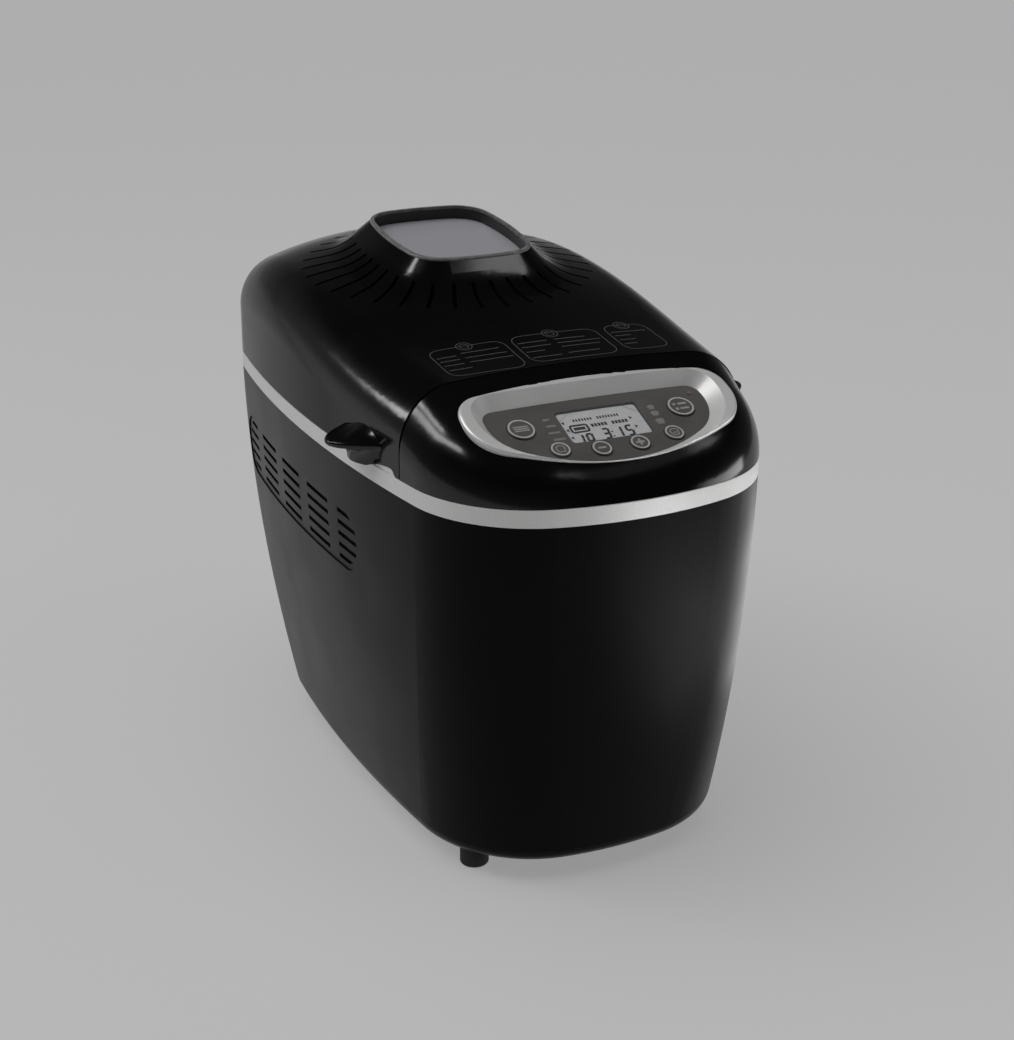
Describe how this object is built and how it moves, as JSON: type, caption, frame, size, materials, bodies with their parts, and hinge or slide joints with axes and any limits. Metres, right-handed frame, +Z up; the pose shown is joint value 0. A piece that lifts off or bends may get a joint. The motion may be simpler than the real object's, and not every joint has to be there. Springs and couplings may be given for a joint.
{
  "type": "bread machine",
  "caption": "Household bread machine with a tapered housing, hinged domed lid with a raised window, sloping key panel, lift-out pan, folding bail and belt-driven kneading paddles.",
  "frame": {"origin": "on the surface that the feet stand on, under the middle of the housing", "axes": "+X to the right, -Y to the front with the key panel, +Z up"},
  "size_m": [0.2688, 0.42, 0.3355],
  "materials": {
    "housing_dark": "satin dark moulded housing",
    "lid_black": "gloss black moulding",
    "silver_trim": "satin silver-painted plastic",
    "panel_brown": "dark brown-grey panel",
    "key_silver": "silver-painted keys",
    "clear_glass": "clear pane",
    "display_glass": "clear cover of the display",
    "display_grey": "display module",
    "rubber": "soft black",
    "steel_sheet": "plain sheet steel",
    "pan_coating": "dark non-stick coating",
    "bright_steel": "turned steel",
    "motor_steel": "motor can",
    "board_green": "circuit board",
    "white_ceramic": "ceramic bush",
    "bronze": "sintered bush",
    "grey_plastic": "moulded inner plastic",
    "lamp_red": "status lamp"
  },
  "bodies": {
    "housing": {"body_shell": "housing_dark", "vent_grille_right": "housing_dark", "vent_grille_left": "housing_dark", "base_plate": "housing_dark", "base_screws": "bright_steel", "feet": "rubber", "trim_band": "silver_trim", "top_deck": "grey_plastic", "front_fascia": "lid_black", "bezel_ring": "silver_trim", "control_panel": "panel_brown", "display_window": "display_glass", "display_module": "display_grey", "status_lamp": "lamp_red", "control_board": "board_green", "hinge_block": "lid_black", "hinge_pin": "bright_steel", "baking_chamber": "steel_sheet", "pan_supports": "steel_sheet", "drive_bearings": "bronze", "belt_lower": "rubber", "belt_upper": "rubber", "motor": "motor_steel", "motor_bracket": "steel_sheet", "heating_element": "bright_steel", "element_insulators": "white_ceramic", "element_clips": "steel_sheet", "temperature_sensor": "bright_steel", "power_board": "board_green", "cord_inlet": "rubber"},
    "lid": {"lid_shell": "lid_black", "window_frame": "lid_black", "window_pane": "clear_glass", "lid_liner": "grey_plastic", "inner_pane": "clear_glass"},
    "pan": {"bread_pan": "pan_coating", "pan_bushes": "bronze"},
    "bail": {"pan_bail": "bright_steel"},
    "kneader_front": {"knead_shaft_front": "bright_steel", "paddle_front": "pan_coating"},
    "kneader_rear": {"knead_shaft_rear": "bright_steel", "paddle_rear": "pan_coating"},
    "drive_front": {"drive_shaft_front": "bright_steel", "pulley_front": "grey_plastic"},
    "drive_rear": {"drive_shaft_rear": "bright_steel", "pulley_rear": "grey_plastic"},
    "motor_rotor": {"motor_shaft": "bright_steel", "motor_pulley": "grey_plastic"},
    "key_menu": {"key_menu": "key_silver"},
    "key_start": {"key_start": "key_silver"},
    "key_colour": {"key_colour": "key_silver"},
    "key_minus": {"key_minus": "key_silver"},
    "key_plus": {"key_plus": "key_silver"},
    "key_weight": {"key_weight": "key_silver"}
  },
  "joints": [
    {"name": "lid_hinge", "type": "hinge", "parent": "housing", "child": "lid", "pos_m": [0, 0.201, 0.247], "axis": [-1, 0, 0], "range_deg": [0, 85]},
    {"name": "pan_lift", "type": "slide", "parent": "housing", "child": "pan", "axis": [0, 0, 1], "range_m": [0, 0.01]},
    {"name": "bail_swing", "type": "hinge", "parent": "pan", "child": "bail", "pos_m": [0, 0.025, 0.199], "axis": [0, -1, 0], "range_deg": [0, 156]},
    {"name": "drive_front_spin", "type": "hinge", "parent": "housing", "child": "drive_front", "pos_m": [0, -0.031, 0.05], "axis": [0, 0, 1], "continuous": true},
    {"name": "drive_rear_spin", "type": "hinge", "parent": "housing", "child": "drive_rear", "pos_m": [0, 0.081, 0.05], "axis": [0, 0, 1], "continuous": true},
    {"name": "motor_spin", "type": "hinge", "parent": "housing", "child": "motor_rotor", "pos_m": [0, -0.148, 0.05], "axis": [0, 0, 1], "continuous": true},
    {"name": "kneader_front_spin", "type": "hinge", "parent": "pan", "child": "kneader_front", "pos_m": [0, -0.031, 0.1], "axis": [0, 0, 1], "continuous": true},
    {"name": "kneader_rear_spin", "type": "hinge", "parent": "pan", "child": "kneader_rear", "pos_m": [0, 0.081, 0.1], "axis": [0, 0, 1], "continuous": true},
    {"name": "key_menu_press", "type": "slide", "parent": "housing", "child": "key_menu", "axis": [0, 0.3859, -0.9225], "range_m": [0, 0.0008], "stiffness_N_per_m": 600},
    {"name": "key_start_press", "type": "slide", "parent": "housing", "child": "key_start", "axis": [0, 0.3859, -0.9225], "range_m": [0, 0.0008], "stiffness_N_per_m": 600},
    {"name": "key_colour_press", "type": "slide", "parent": "housing", "child": "key_colour", "axis": [0, 0.3859, -0.9225], "range_m": [0, 0.0008], "stiffness_N_per_m": 600},
    {"name": "key_minus_press", "type": "slide", "parent": "housing", "child": "key_minus", "axis": [0, 0.3859, -0.9225], "range_m": [0, 0.0008], "stiffness_N_per_m": 600},
    {"name": "key_plus_press", "type": "slide", "parent": "housing", "child": "key_plus", "axis": [0, 0.3859, -0.9225], "range_m": [0, 0.0008], "stiffness_N_per_m": 600},
    {"name": "key_weight_press", "type": "slide", "parent": "housing", "child": "key_weight", "axis": [0, 0.3859, -0.9225], "range_m": [0, 0.0008], "stiffness_N_per_m": 600}
  ],
  "couplings": [
    {"joint": "drive_rear_spin", "follows": "drive_front_spin", "ratio": 1},
    {"joint": "motor_spin", "follows": "drive_front_spin", "ratio": 5},
    {"joint": "kneader_front_spin", "follows": "drive_front_spin", "ratio": 1},
    {"joint": "kneader_rear_spin", "follows": "drive_front_spin", "ratio": 1}
  ]
}
